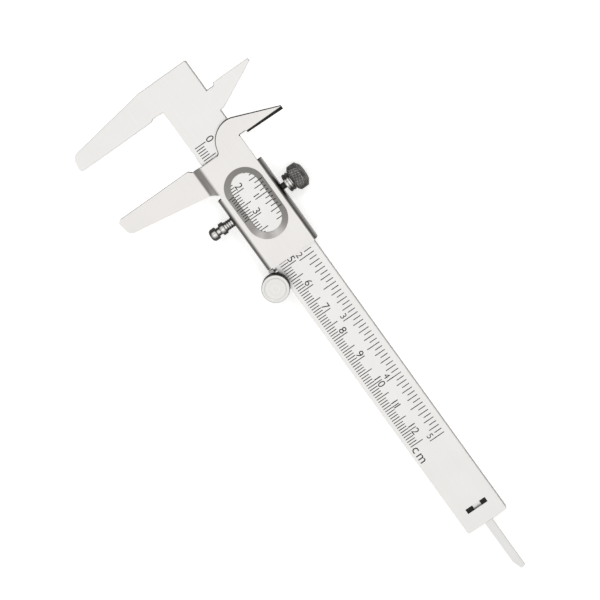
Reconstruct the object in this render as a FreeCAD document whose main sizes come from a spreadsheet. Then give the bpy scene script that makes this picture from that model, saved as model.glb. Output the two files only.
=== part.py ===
import FreeCAD, Part
import math
import os
import Sketcher

# Vernier caliper, 125 mm and 5 in, with a folded sheet slider, in millimetres.
# The origin is the centre of the fixed outside jaw's measuring face.
# +X runs along the beam and the measuring axis, +Y across it towards the inside jaws,
# and +Z out of the face that carries the scale.

DIMENSIONS = {
    # Beam: a flat bar with both fixed jaws cut from one piece.
    "beam_thickness": 3.0,
    "beam_low": 20.0,
    "beam_high": 36.0,
    "beam_end": 177.1,
    "beam_corner": 0.7,
    "edge_break": 0.15,
    "head_left": -10.3,
    "head_slope_start": 16.5,
    "fixed_face": 0.0,
    "face_top": 14.7,
    "jaw_tip": -14.6,
    "jaw_tip_rise": 1.1,
    "jaw_tip_round": 2.5,
    "jaw_tip_break": 1.2,
    "fixed_tip_left": -5.8,
    "root_relief": 0.7,
    "root_relief_y": 15.9,
    "root_relief_round": 0.3,
    "head_foot_round": 3.0,
    "face_set_back": 0.4,
    # Inside jaws, both measured on one line when the caliper is shut.
    "inner_edge": 1.0,
    "inner_tip": 53.4,
    "inner_tip_width": 1.2,
    "inner_root": 39.3,
    "inner_relief": 1.0,
    "inner_back_x": 9.6,
    "inner_back_y": 38.0,
    "inner_back_run": 0.3,
    "inner_back_round": 2.0,
    "knife_width": 1.2,
    "knife_land": 0.35,
    # Depth rod, its groove in the beam's back and the guide clip near the end.
    "rod_line": 28.05,
    "rod_width": 2.9,
    "rod_thickness": 1.4,
    "rod_back": -1.55,
    "rod_start": 51.0,
    "rod_end": 197.6,
    "rod_bevel_run": 3.5,
    "rod_bevel_rise": 1.2,
    "small_round": 0.3,
    "groove_width": 3.0,
    "groove_depth": 1.5,
    "groove_start": 28.0,
    "slot_left": 169.3,
    "slot_width": 1.8,
    "slot_length": 8.0,
    "clip_leg": 2.2,
    "clip_reach": 1.3,
    "clip_bridge": 0.9,
    "rod_clearance": 0.05,
    # Slider: one sheet, folded round the beam's two edges.
    "reading": 20.5,
    "sheet": 1.5,
    "slide_gap": 0.05,
    "overlap": 1.5,
    "top_gap": 0.1,
    "gib_gap": 1.2,
    "fold_round": 2.0,
    "lip_round": 1.3,
    "slider_left": 21.6,
    "slider_right": 63.43,
    "plate_top": 36.4,
    "plate_low": 18.93,
    "top_fold_left": 30.7,
    "top_fold_right": 63.25,
    "low_fold_left": 34.4,
    "low_fold_right": 63.05,
    "low_lip_end": 24.4,
    "top_lip_end": 31.7,
    "horn_neck_y": 26.9,
    "horn_neck_round": 1.2,
    "horn_left": 13.5,
    "horn_shoulder_x": 16.75,
    "horn_shoulder_y": 28.3,
    "horn_side_y": 32.95,
    "horn_round": 8.3,
    "horn_turn_y": 36.8,
    "horn_turn_round": 6.0,
    "horn_tip_width": 1.4,
    "horn_lean": 0.4,
    "horn_relief_x": 20.2,
    "moving_tip_right": 26.6,
    "moving_root_right": 32.8,
    "moving_jaw_half": 0.9,
    "joggle_low": 16.3,
    "joggle_shift": 0.75,
    "joggle_round": 2.4,
    "moving_heel_x": 31.7,
    "moving_heel_y": 17.3,
    "moving_heel_round": 6.0,
    # Window with a bevelled rim for the vernier.
    "window_x": 41.96,
    "window_y": 27.68,
    "window_length": 22.37,
    "window_width": 10.1,
    "window_bevel": 2.15,
    "window_land": 0.3,
    # Turned pieces on the slider's edges.
    "screw_x": 42.8,
    "neck_radius": 1.15,
    "edge_hole_radius": 1.2,
    "screw_reach": 0.7,
    "tip_chamfer": 0.25,
    "collar_radius": 3.25,
    "collar_start": 1.8,
    "collar_end": 3.85,
    "collar_groove": 0.3,
    "undercut_radius": 2.7,
    "undercut_end": 4.15,
    "head_foot_radius": 3.2,
    "head_radius": 4.55,
    "head_start": 5.05,
    "head_end": 7.85,
    "head_top_radius": 2.65,
    "head_top": 9.15,
    "pad_radius": 1.0,
    "pad_thickness": 0.5,
    "gib_thickness": 1.1,
    "gib_width": 2.4,
    "gib_end_gap": 0.2,
    "gib_fit": 0.05,
    "dog_radius": 0.6,
    "dog_length": 0.4,
    "post_x": 42.9,
    "post_radius": 1.675,
    "post_groove": 0.175,
    "post_groove_pitch": 0.8,
    "post_shaft": 3.25,
    "post_collar_radius": 2.225,
    "post_collar": 4.95,
    "post_neck_radius": 1.45,
    "post_neck": 6.4,
    "post_knob_radius": 2.2,
    "post_length": 9.1,
    # Thumb roller on a bracket at the slider's lower right corner.
    "carrier_inset": 2.2,
    "bracket_inset_left": 1.8,
    "bracket_inset_right": 2.4,
    "roller_x": 69.0,
    "roller_y": 16.5,
    "roller_radius": 4.85,
    "roller_step": 3.7,
    "roller_back": 1.65,
    "roller_height": 5.0,
    "roller_dish": 0.2,
    "hub_radius": 3.48,
    "stem_radius": 1.5,
    "eye_bore": 1.55,
    "eye_radius": 3.2,
    "bracket_sheet": 1.0,
    "bracket_left": 51.0,
    "bracket_low": 19.4,
    "bracket_high": 23.4,
    "bracket_bend_x": 65.8,
    "tab_left": 63.6,
    "tab_right": 65.3,
    "tab_foot_left": 64.5,
    "tab_low": 17.1,
    "tab_high": 18.8,
    "tab_front": 1.3,
    "tab_back": -1.2,
    "washer_thickness": 0.4,
    # Rod carrier across the slider's two back lips.
    "carrier_left": 49.5,
    "carrier_right": 62.0,
    "carrier_low": 25.0,
    "carrier_high": 35.0,
    "carrier_sheet": 1.5,
    "rivet_radius": 0.8,
}

DOC = FreeCAD.newDocument("vernier_caliper")


class Size:
    """A length held both as a number and as the sheet expression that drives it."""

    def __init__(self, number, text=None):
        self.number = number
        self.text = str(number) if text is None else text

    @staticmethod
    def of(value):
        return value if isinstance(value, Size) else Size(value)

    def joined(self, other, sign, number):
        return Size(number, f"({self.text} {sign} {other.text})")

    def __add__(self, other):
        other = Size.of(other)
        return self.joined(other, "+", self.number + other.number)

    def __sub__(self, other):
        other = Size.of(other)
        return self.joined(other, "-", self.number - other.number)

    def __mul__(self, other):
        other = Size.of(other)
        return self.joined(other, "*", self.number * other.number)

    def __truediv__(self, other):
        other = Size.of(other)
        return self.joined(other, "/", self.number / other.number)

    def __neg__(self):
        return Size(0.0) - self


def make_sheet():
    """Fill the spreadsheet and return every driving dimension as a Size."""
    sheet = DOC.addObject("Spreadsheet::Sheet", "dimensions")
    for row, (name, number) in enumerate(DIMENSIONS.items(), start=1):
        sheet.set(f"A{row}", name)
        sheet.set(f"B{row}", str(number))
        sheet.setAlias(f"B{row}", name)
    DOC.recompute()
    return {name: Size(number, f"dimensions.{name}") for name, number in DIMENSIONS.items()}


D = make_sheet()

# Levels that several pieces share.
BEAM_FRONT = D["beam_thickness"] / 2
BEAM_BACK = -BEAM_FRONT
PLATE_BACK = BEAM_FRONT + D["slide_gap"]
PLATE_FRONT = PLATE_BACK + D["sheet"]
LIP_FRONT = -PLATE_BACK
LIP_BACK = -PLATE_FRONT
LOW_WALL_IN = D["beam_low"] - D["gib_gap"]
LOW_WALL_OUT = LOW_WALL_IN - D["sheet"]
TOP_WALL_IN = D["beam_high"] + D["top_gap"]
TOP_WALL_OUT = TOP_WALL_IN + D["sheet"]
MOVING_FACE = D["fixed_face"] + D["reading"]
MOVING_EDGE = D["inner_edge"] + D["reading"]


def new_body(name):
    """Start a body whose Label names its file."""
    body = DOC.addObject("PartDesign::Body", name)
    body.Label = name
    return body


def new_sketch(body, name, plane, level=Size(0.0)):
    """Attach a sketch to one of the body's own origin planes, raised to a level."""
    sketch = body.newObject("Sketcher::SketchObject", name)
    support = next(item for item in body.Origin.OriginFeatures if item.Role == plane)
    sketch.AttachmentSupport = [(support, "")]
    sketch.MapMode = "FlatFace"
    sketch.setExpression("AttachmentOffset.Base.z", level.text)
    return sketch


def bind(sketch, kind, *where, size):
    """Add a sized constraint and tie it to the sheet."""
    index = sketch.addConstraint(Sketcher.Constraint(kind, *where, size.number))
    sketch.setExpression(f"Constraints[{index}]", size.text)


def pin_point(sketch, item, end, x, y):
    """Fix one point of the sketch at x, y from the origin."""
    bind(sketch, "DistanceX", -1, 1, item, end, size=x)
    bind(sketch, "DistanceY", -1, 1, item, end, size=y)


def corner_arc(before, corner, after, radius):
    """Return where a rounded corner starts and ends, its arc and whether it turns left."""
    to_before = (before - corner).normalize()
    to_after = (after - corner).normalize()
    half_angle = to_before.getAngle(to_after) / 2
    reach = radius / math.tan(half_angle)
    first = corner + to_before * reach
    last = corner + to_after * reach
    middle = (to_before + to_after).normalize()
    centre = corner + middle * (radius / math.sin(half_angle))
    turns_left = to_before.cross(to_after).z < 0
    start, stop = (first, last) if turns_left else (last, first)
    circle = Part.Circle(centre, FreeCAD.Vector(0, 0, 1), radius)
    arc = Part.ArcOfCircle(circle, circle.parameter(start), circle.parameter(stop))
    return first, last, arc, turns_left


def outline(sketch, corners):
    """Draw a closed outline. A corner is (x, y), or (x, y, radius) when it is rounded."""
    corners = [tuple(Size.of(value) for value in corner) for corner in corners]
    count = len(corners)
    places = [FreeCAD.Vector(corner[0].number, corner[1].number, 0) for corner in corners]
    arcs = {}
    for i, corner in enumerate(corners):
        if len(corner) == 3:
            arcs[i] = corner_arc(places[i - 1], places[i], places[(i + 1) % count], corner[2].number)
    lines = []
    for i in range(count):
        following = (i + 1) % count
        start = arcs[i][1] if i in arcs else places[i]
        stop = arcs[following][0] if following in arcs else places[following]
        lines.append(sketch.addGeometry(Part.LineSegment(start, stop), False))
    for i, corner in enumerate(corners):
        line_in = lines[i - 1]
        line_out = lines[i]
        if i not in arcs:
            sketch.addConstraint(Sketcher.Constraint("Coincident", line_in, 2, line_out, 1))
            pin_point(sketch, line_out, 1, corner[0], corner[1])
            continue
        arc = sketch.addGeometry(arcs[i][2], False)
        arc_start, arc_stop = (1, 2) if arcs[i][3] else (2, 1)
        sketch.addConstraint(Sketcher.Constraint("Tangent", line_in, 2, arc, arc_start))
        sketch.addConstraint(Sketcher.Constraint("Tangent", arc, arc_stop, line_out, 1))
        bind(sketch, "Radius", arc, size=corner[2])
        point = sketch.addGeometry(Part.Point(places[i]), True)
        sketch.addConstraint(Sketcher.Constraint("PointOnObject", point, 1, line_in))
        sketch.addConstraint(Sketcher.Constraint("PointOnObject", point, 1, line_out))
        pin_point(sketch, point, 1, corner[0], corner[1])


def rectangle(sketch, left, low, right, high):
    """Draw a rectangle from its four sides."""
    outline(sketch, [(left, low), (right, low), (right, high), (left, high)])


def circle_at(sketch, x, y, radius):
    """Draw a circle."""
    circle = Part.Circle(FreeCAD.Vector(x.number, y.number, 0), FreeCAD.Vector(0, 0, 1), radius.number)
    item = sketch.addGeometry(circle, False)
    bind(sketch, "Radius", item, size=radius)
    pin_point(sketch, item, 3, x, y)


def long_hole(sketch, x, y, length, radius):
    """Draw a hole with round ends, lying along the sketch's first axis."""
    up = FreeCAD.Vector(0, 0, 1)
    left = x - length / 2 + radius
    right = x + length / 2 - radius
    low = y.number - radius.number
    high = y.number + radius.number
    quarter = math.pi / 2
    right_circle = Part.Circle(FreeCAD.Vector(right.number, y.number, 0), up, radius.number)
    left_circle = Part.Circle(FreeCAD.Vector(left.number, y.number, 0), up, radius.number)
    low_left = FreeCAD.Vector(left.number, low, 0)
    low_right = FreeCAD.Vector(right.number, low, 0)
    high_right = FreeCAD.Vector(right.number, high, 0)
    high_left = FreeCAD.Vector(left.number, high, 0)
    items = [
        sketch.addGeometry(Part.LineSegment(low_left, low_right), False),
        sketch.addGeometry(Part.ArcOfCircle(right_circle, -quarter, quarter), False),
        sketch.addGeometry(Part.LineSegment(high_right, high_left), False),
        sketch.addGeometry(Part.ArcOfCircle(left_circle, quarter, 3 * quarter), False),
    ]
    for i, item in enumerate(items):
        sketch.addConstraint(Sketcher.Constraint("Tangent", item, 2, items[(i + 1) % 4], 1))
    for arc, centre_x in ((items[1], right), (items[3], left)):
        bind(sketch, "Radius", arc, size=radius)
        pin_point(sketch, arc, 3, centre_x, y)


def pad(body, name, sketch, length):
    """Add material from the sketch along its normal."""
    feature = body.newObject("PartDesign::Pad", name)
    feature.Profile = sketch
    feature.setExpression("Length", length.text)
    DOC.recompute()
    return feature


def pocket(body, name, sketch, depth, along_normal=False):
    """Remove material from the sketch against its normal, and check that some went."""
    before = body.Shape.Volume
    feature = body.newObject("PartDesign::Pocket", name)
    feature.Profile = sketch
    feature.Reversed = along_normal
    feature.setExpression("Length", depth.text)
    DOC.recompute()
    if not body.Shape.Volume < before:
        raise RuntimeError(f"{body.Label}: {name} removed nothing")
    return feature


def turn(body, name, sketch):
    """Turn the sketch once round its vertical axis."""
    feature = body.newObject("PartDesign::Revolution", name)
    feature.Profile = sketch
    feature.ReferenceAxis = (sketch, ["V_Axis"])
    feature.Angle = 360
    DOC.recompute()
    return feature


def edges_where(body, test):
    """Name the edges of the body's last feature whose middle passes the test."""
    names = []
    for number, edge in enumerate(body.Tip.Shape.Edges, start=1):
        if test(edge):
            names.append(f"Edge{number}")
    return names


def chamfer(body, name, edges, size):
    """Chamfer the named edges of the last feature by one size."""
    base = body.Tip
    feature = body.newObject("PartDesign::Chamfer", name)
    feature.Base = (base, edges)
    feature.setExpression("Size", size.text)
    DOC.recompute()
    return feature


def knife_edge(body, name, edge_x, side, edge_z, far_z):
    """Bevel an inside jaw down to a narrow land at its measuring edge."""
    sketch = new_sketch(body, name + "_profile", "XZ_Plane", -D["inner_tip"] - 1)
    outline(sketch, [(edge_x, edge_z), (edge_x, far_z), (edge_x + D["knife_width"] * side, far_z)])
    pocket(body, name, sketch, D["inner_tip"] + 1 - D["inner_root"], along_normal=True)


def make_beam():
    """The bar with the head, both fixed jaws, the rod groove and the clip slot."""
    body = new_body("beam")
    profile = new_sketch(body, "beam_profile", "XY_Plane", BEAM_BACK)
    inner_relief_x = D["inner_edge"] + D["inner_relief"]
    outline(profile, [
        (D["head_left"], D["beam_high"], D["beam_corner"]),
        (D["head_left"], D["head_slope_start"], D["head_foot_round"]),
        (D["fixed_tip_left"], D["jaw_tip"] + D["jaw_tip_rise"], D["jaw_tip_round"]),
        (D["fixed_face"], D["jaw_tip"], D["jaw_tip_break"]),
        (D["fixed_face"], D["face_top"]),
        (D["fixed_face"] - D["root_relief"], D["root_relief_y"], D["root_relief_round"]),
        (D["fixed_face"] - D["face_set_back"], D["beam_low"]),
        (D["beam_end"], D["beam_low"], D["beam_corner"]),
        (D["beam_end"], D["beam_high"], D["beam_corner"]),
        (D["inner_back_x"] + D["inner_back_run"], D["beam_high"]),
        (D["inner_back_x"], D["inner_back_y"], D["inner_back_round"]),
        (D["inner_edge"] + D["inner_tip_width"], D["inner_tip"]),
        (D["inner_edge"], D["inner_tip"]),
        (D["inner_edge"], D["inner_root"]),
        (inner_relief_x, D["inner_root"] - D["small_round"], D["small_round"]),
        (inner_relief_x, D["beam_high"]),
    ])
    pad(body, "beam_pad", profile, D["beam_thickness"])
    knife_edge(body, "fixed_knife", D["inner_edge"], 1, BEAM_FRONT - D["knife_land"], BEAM_BACK)

    groove_half = D["groove_width"] / 2
    groove = new_sketch(body, "groove_profile", "XY_Plane", BEAM_BACK + D["groove_depth"])
    rectangle(groove, D["groove_start"], D["rod_line"] - groove_half,
              D["beam_end"] + 1, D["rod_line"] + groove_half)
    pocket(body, "rod_groove", groove, D["groove_depth"])

    slot_half = D["slot_length"] / 2
    slot = new_sketch(body, "slot_profile", "XY_Plane", BEAM_FRONT)
    rectangle(slot, D["slot_left"], D["rod_line"] - slot_half,
              D["slot_left"] + D["slot_width"], D["rod_line"] + slot_half)
    pocket(body, "clip_slot", slot, D["beam_thickness"])

    front = BEAM_FRONT.number
    rim = edges_where(body, lambda edge: edge.BoundBox.ZMin > front - 0.01
                      and not in_slot(edge.CenterOfMass))
    chamfer(body, "front_edge_break", rim, D["edge_break"])
    return body


def in_slot(point):
    """Tell whether a point lies on the rim of the clip slot."""
    left = DIMENSIONS["slot_left"]
    inside = left - 0.1 < point.x < left + DIMENSIONS["slot_width"] + 0.1
    return inside and DIMENSIONS["beam_low"] + 1 < point.y < DIMENSIONS["beam_high"] - 1


def make_depth_rod():
    """The flat rod that slides in the beam's groove, bevelled at its tip."""
    body = new_body("depth_rod")
    low = D["rod_line"] - D["rod_width"] / 2
    high = D["rod_line"] + D["rod_width"] / 2
    profile = new_sketch(body, "rod_profile", "XY_Plane", D["rod_back"])
    outline(profile, [
        (D["rod_start"], low),
        (D["rod_end"] - D["rod_bevel_run"], low),
        (D["rod_end"], low + D["rod_bevel_rise"]),
        (D["rod_end"], high, D["small_round"]),
        (D["rod_start"], high),
    ])
    pad(body, "rod_pad", profile, D["rod_thickness"])
    hole = new_sketch(body, "rod_pin_hole", "XY_Plane", D["rod_back"] + D["rod_thickness"])
    circle_at(hole, pin_x(), D["rod_line"], D["rivet_radius"])
    pocket(body, "rod_pin_bore", hole, D["rod_thickness"])
    return body


def pin_x():
    """The pin that ties the rod to its carrier sits in the carrier's middle."""
    return (D["carrier_left"] + D["carrier_right"]) / 2


def make_rod_guide_clip():
    """The staple that keeps the rod in its groove: a bridge and two legs in the slot."""
    body = new_body("rod_guide_clip")
    half = D["slot_length"] / 2
    low = D["rod_line"] - half
    high = D["rod_line"] + half
    bridge_front = D["rod_back"] - D["rod_clearance"]
    bridge_back = bridge_front - D["clip_bridge"]
    profile = new_sketch(body, "clip_profile", "YZ_Plane", D["slot_left"])
    outline(profile, [
        (low, bridge_back, Size(0.5)),
        (high, bridge_back, Size(0.5)),
        (high, D["clip_reach"]),
        (high - D["clip_leg"], D["clip_reach"]),
        (high - D["clip_leg"], bridge_front),
        (low + D["clip_leg"], bridge_front),
        (low + D["clip_leg"], D["clip_reach"]),
        (low, D["clip_reach"]),
    ])
    pad(body, "clip_pad", profile, D["slot_width"])
    return body


def make_slider_body():
    """The folded sheet: front plate, both moving jaws, two folds and their back lips."""
    body = new_body("slider_body")
    make_moving_jaw(body)
    make_plate(body)
    make_folds(body)
    make_window(body)
    make_slider_holes(body)
    return body


def make_moving_jaw(body):
    """The outside jaw, joggled back from the plate into the beam's plane."""
    shift = D["joggle_shift"]
    bend = D["joggle_round"]
    half = D["moving_jaw_half"]
    overlap = D["plate_low"] + 3
    below_tip = D["jaw_tip"] - 0.5
    bent = new_sketch(body, "jaw_section", "YZ_Plane", MOVING_FACE)
    outline(bent, [
        (overlap, PLATE_FRONT),
        (D["plate_low"], PLATE_FRONT, bend),
        (D["joggle_low"], half, bend / 2),
        (below_tip, half),
        (below_tip, -half),
        (D["joggle_low"] + shift, -half, bend),
        (D["plate_low"] + shift, PLATE_BACK, bend / 4),
        (overlap, PLATE_BACK),
    ])
    pad(body, "jaw_pad", bent, D["moving_root_right"] + 0.5 - MOVING_FACE)

    trim = new_sketch(body, "jaw_outline", "XY_Plane", PLATE_FRONT + 1)
    rectangle(trim, MOVING_FACE - 5, D["jaw_tip"] - 5, D["moving_root_right"] + 5, D["plate_low"] + 5)
    outline(trim, [
        (D["slider_left"], D["plate_low"] + 4),
        (D["slider_left"], D["root_relief_y"], D["root_relief_round"]),
        (MOVING_FACE, D["face_top"]),
        (MOVING_FACE, D["jaw_tip"], D["jaw_tip_break"]),
        (D["moving_tip_right"], D["jaw_tip"] + D["jaw_tip_rise"], D["jaw_tip_round"]),
        (D["moving_heel_x"], D["moving_heel_y"], D["moving_heel_round"]),
        (D["moving_root_right"], D["plate_low"]),
        (D["moving_root_right"], D["plate_low"] + 4),
    ])
    pocket(body, "jaw_trim", trim, PLATE_FRONT * 2 + 2)


def make_plate(body):
    """The front plate with the horn of the moving inside jaw."""
    fold_edge = D["beam_low"]
    face = new_sketch(body, "plate_outline", "XY_Plane", PLATE_BACK)
    outline(face, [
        (D["slider_left"], D["plate_low"] + D["overlap"]),
        (D["moving_root_right"], D["plate_low"] + D["overlap"]),
        (D["moving_root_right"], D["plate_low"]),
        (D["low_fold_left"], D["plate_low"]),
        (D["low_fold_left"], fold_edge),
        (D["slider_right"], fold_edge),
        (D["slider_right"], D["plate_top"]),
        (D["horn_relief_x"], D["plate_top"], D["small_round"]),
        (D["horn_relief_x"], D["inner_root"] - D["small_round"], D["small_round"]),
        (MOVING_EDGE - D["horn_lean"], D["inner_root"]),
        (MOVING_EDGE, D["inner_tip"]),
        (MOVING_EDGE - D["horn_tip_width"], D["inner_tip"]),
        (D["horn_left"], D["horn_turn_y"], D["horn_turn_round"]),
        (D["horn_left"], D["horn_side_y"], D["horn_round"]),
        (D["horn_shoulder_x"], D["horn_shoulder_y"], D["horn_round"]),
        (D["slider_left"], D["horn_neck_y"], D["horn_neck_round"]),
    ])
    pad(body, "plate_pad", face, D["sheet"])
    knife_edge(body, "moving_knife", MOVING_EDGE, -1, PLATE_BACK + D["knife_land"], PLATE_FRONT)


def make_folds(body):
    """The two edges of the sheet, folded round the beam to lips on its back."""
    low = new_sketch(body, "low_fold_section", "YZ_Plane", D["low_fold_left"])
    outline(low, [
        (LOW_WALL_IN + D["overlap"], PLATE_FRONT),
        (LOW_WALL_OUT, PLATE_FRONT, D["fold_round"]),
        (LOW_WALL_OUT, LIP_BACK, D["lip_round"]),
        (D["low_lip_end"], LIP_BACK),
        (D["low_lip_end"], LIP_FRONT),
        (LOW_WALL_IN, LIP_FRONT),
        (LOW_WALL_IN, PLATE_BACK),
        (LOW_WALL_IN + D["overlap"], PLATE_BACK),
    ])
    pad(body, "low_fold", low, D["low_fold_right"] - D["low_fold_left"])
    top = new_sketch(body, "top_fold_section", "YZ_Plane", D["top_fold_left"])
    outline(top, [
        (TOP_WALL_IN - D["overlap"], PLATE_FRONT),
        (TOP_WALL_IN - D["overlap"], PLATE_BACK),
        (TOP_WALL_IN, PLATE_BACK),
        (TOP_WALL_IN, LIP_FRONT),
        (D["top_lip_end"], LIP_FRONT),
        (D["top_lip_end"], LIP_BACK),
        (TOP_WALL_OUT, LIP_BACK, D["lip_round"]),
        (TOP_WALL_OUT, PLATE_FRONT, D["fold_round"]),
    ])
    pad(body, "top_fold", top, D["top_fold_right"] - D["top_fold_left"])


def make_window(body):
    """The round-ended reading window and the wide bevel that carries the vernier."""
    half_length = D["window_length"] / 2
    half_width = D["window_width"] / 2
    opening = new_sketch(body, "window_outline", "XY_Plane", PLATE_FRONT)
    long_hole(opening, D["window_x"], D["window_y"], D["window_length"], half_width)
    pocket(body, "window", opening, D["sheet"])

    front = PLATE_FRONT.number

    def on_rim(edge):
        point = edge.CenterOfMass
        near_x = abs(point.x - D["window_x"].number) < half_length.number + 0.1
        near_y = abs(point.y - D["window_y"].number) < half_width.number + 0.1
        return edge.BoundBox.ZMin > front - 0.01 and near_x and near_y

    base = body.Tip
    rim = edges_where(body, on_rim)
    bevel = body.newObject("PartDesign::Chamfer", "window_bevel")
    bevel.Base = (base, rim)
    bevel.ChamferType = "Two distances"
    bevel.setExpression("Size", D["window_bevel"].text)
    bevel.setExpression("Size2", (D["sheet"] - D["window_land"]).text)
    DOC.recompute()
    if not bevel.Shape.Volume < base.Shape.Volume:
        raise RuntimeError("the window bevel removed nothing")


def make_slider_holes(body):
    """Holes for the lock screw, the finger post and the rivets in the lips."""
    top = new_sketch(body, "screw_hole", "XZ_Plane", -(TOP_WALL_OUT + 1))
    circle_at(top, D["screw_x"], Size(0.0), D["edge_hole_radius"])
    pocket(body, "screw_bore", top, D["sheet"] + 2, along_normal=True)
    low = new_sketch(body, "post_hole", "XZ_Plane", -(LOW_WALL_IN + 0.5))
    circle_at(low, D["post_x"], Size(0.0), D["edge_hole_radius"])
    pocket(body, "post_bore", low, D["sheet"] + 1, along_normal=True)
    lips = new_sketch(body, "lip_holes", "XY_Plane", LIP_FRONT)
    for x, y in lip_rivets():
        circle_at(lips, x, y, D["rivet_radius"])
    pocket(body, "lip_bores", lips, D["sheet"] + 1)


def carrier_rivet_places():
    """The two rivets that hold the rod carrier, both in the top lip."""
    y = (D["top_lip_end"] + D["carrier_high"]) / 2
    return [(D["carrier_left"] + D["carrier_inset"], y), (D["carrier_right"] - D["carrier_inset"], y)]


def bracket_rivet_places():
    """The two rivets that hold the roller bracket, both in the lower lip."""
    y = (D["bracket_low"] + D["bracket_high"]) / 2
    return [(D["bracket_left"] + D["bracket_inset_left"], y),
            (D["low_fold_right"] - D["bracket_inset_right"], y)]


def lip_rivets():
    """Every rivet hole in the slider's back lips."""
    return carrier_rivet_places() + bracket_rivet_places()


def make_rod_carrier():
    """The block riveted to the top lip, with a boss that reaches in to the rod."""
    body = new_body("rod_carrier")
    back = LIP_BACK - D["carrier_sheet"]
    flange = new_sketch(body, "carrier_outline", "XY_Plane", back)
    rectangle(flange, D["carrier_left"], D["carrier_low"], D["carrier_right"], D["carrier_high"])
    pad(body, "carrier_flange", flange, D["carrier_sheet"])
    boss = new_sketch(body, "boss_outline", "XY_Plane", LIP_BACK)
    rectangle(boss, D["carrier_left"], D["carrier_low"],
              D["carrier_right"], D["top_lip_end"] - D["rod_clearance"])
    pad(body, "carrier_boss", boss, D["rod_back"] - LIP_BACK)
    holes = new_sketch(body, "carrier_holes", "XY_Plane", LIP_BACK)
    for x, y in carrier_rivet_places():
        circle_at(holes, x, y, D["rivet_radius"])
    pocket(body, "carrier_bores", holes, D["carrier_sheet"])
    pin = new_sketch(body, "pin_hole", "XY_Plane", D["rod_back"])
    circle_at(pin, pin_x(), D["rod_line"], D["rivet_radius"])
    pocket(body, "pin_bore", pin, D["rod_back"] - back)
    return body


def make_rivets(name, places, back, front):
    """A group of plain rivets, headed flush, as separate solids in one node."""
    rivets = []
    for number, (x, y) in enumerate(places, start=1):
        rivet = DOC.addObject("Part::Cylinder", f"{name}_{number}")
        rivet.setExpression("Radius", D["rivet_radius"].text)
        rivet.setExpression("Height", (front - back).text)
        rivet.setExpression("Placement.Base.x", x.text)
        rivet.setExpression("Placement.Base.y", y.text)
        rivet.setExpression("Placement.Base.z", back.text)
        rivets.append(rivet)
    group = DOC.addObject("Part::Compound", name)
    group.Links = rivets
    group.Label = name
    return group


def make_rod_pin():
    """The pin through the carrier and the rod."""
    pin = DOC.addObject("Part::Cylinder", "rod_pin")
    pin.Label = "rod_pin"
    back = LIP_BACK - D["carrier_sheet"]
    pin.setExpression("Radius", D["rivet_radius"].text)
    pin.setExpression("Height", (D["rod_back"] + D["rod_thickness"] - back).text)
    pin.setExpression("Placement.Base.x", pin_x().text)
    pin.setExpression("Placement.Base.y", D["rod_line"].text)
    pin.setExpression("Placement.Base.z", back.text)
    return pin


def make_gib_strip():
    """The bar between the beam's lower edge and the fold, with a dimple for the post's dog."""
    body = new_body("gib_strip")
    low = LOW_WALL_IN + D["gib_fit"]
    section = new_sketch(body, "gib_section", "XY_Plane", -(D["gib_width"] / 2))
    rectangle(section, D["low_fold_left"] + D["gib_end_gap"], low,
              D["low_fold_right"] - D["gib_end_gap"], low + D["gib_thickness"])
    pad(body, "gib_pad", section, D["gib_width"])
    dimple = new_sketch(body, "dimple_outline", "XZ_Plane", -low)
    circle_at(dimple, D["post_x"], Size(0.0), D["dog_radius"] + D["gib_fit"])
    pocket(body, "post_dimple", dimple, D["dog_length"] + D["gib_fit"])
    return body


def stand_on_edge(body, x, y):
    """Place a turned piece with its axis in the beam's middle plane."""
    body.setExpression("Placement.Base.x", x.text)
    body.setExpression("Placement.Base.y", y.text)


def make_lock_pad():
    """The brass pad under the lock screw's tip, which stops the turning tip scoring the beam."""
    body = new_body("lock_pad")
    section = new_sketch(body, "pad_section", "XY_Plane")
    rectangle(section, 0.0, 0.0, D["pad_radius"], D["pad_thickness"])
    turn(body, "pad_turn", section)
    stand_on_edge(body, D["screw_x"], D["beam_high"] + D["slide_gap"])
    return body


def make_lock_screw():
    """The knurled lock screw: tip, neck, grooved collar and head, from the wall outwards."""
    body = new_body("lock_screw")
    neck = D["neck_radius"]
    collar = D["collar_radius"]
    tip = -D["screw_reach"] - D["small_round"]
    groove_middle = (D["collar_start"] + D["collar_end"]) / 2
    groove_half = D["collar_groove"] / 2
    groove_floor = collar - D["collar_groove"]
    section = new_sketch(body, "screw_section", "XY_Plane")
    outline(section, [
        (0.0, tip),
        (neck - D["tip_chamfer"], tip),
        (neck, -D["screw_reach"]),
        (neck, D["collar_start"]),
        (collar, D["collar_start"], D["small_round"]),
        (collar, groove_middle - groove_half),
        (groove_floor, groove_middle - groove_half / 2),
        (groove_floor, groove_middle + groove_half / 2),
        (collar, groove_middle + groove_half),
        (collar, D["collar_end"]),
        (D["undercut_radius"], D["collar_end"]),
        (D["undercut_radius"], D["undercut_end"]),
        (D["head_foot_radius"], D["undercut_end"]),
        (D["head_radius"], D["head_start"]),
        (D["head_radius"], D["head_end"]),
        (D["head_top_radius"], D["head_top"]),
        (0.0, D["head_top"]),
    ])
    turn(body, "screw_turn", section)
    stand_on_edge(body, D["screw_x"], TOP_WALL_OUT)
    return body


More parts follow.
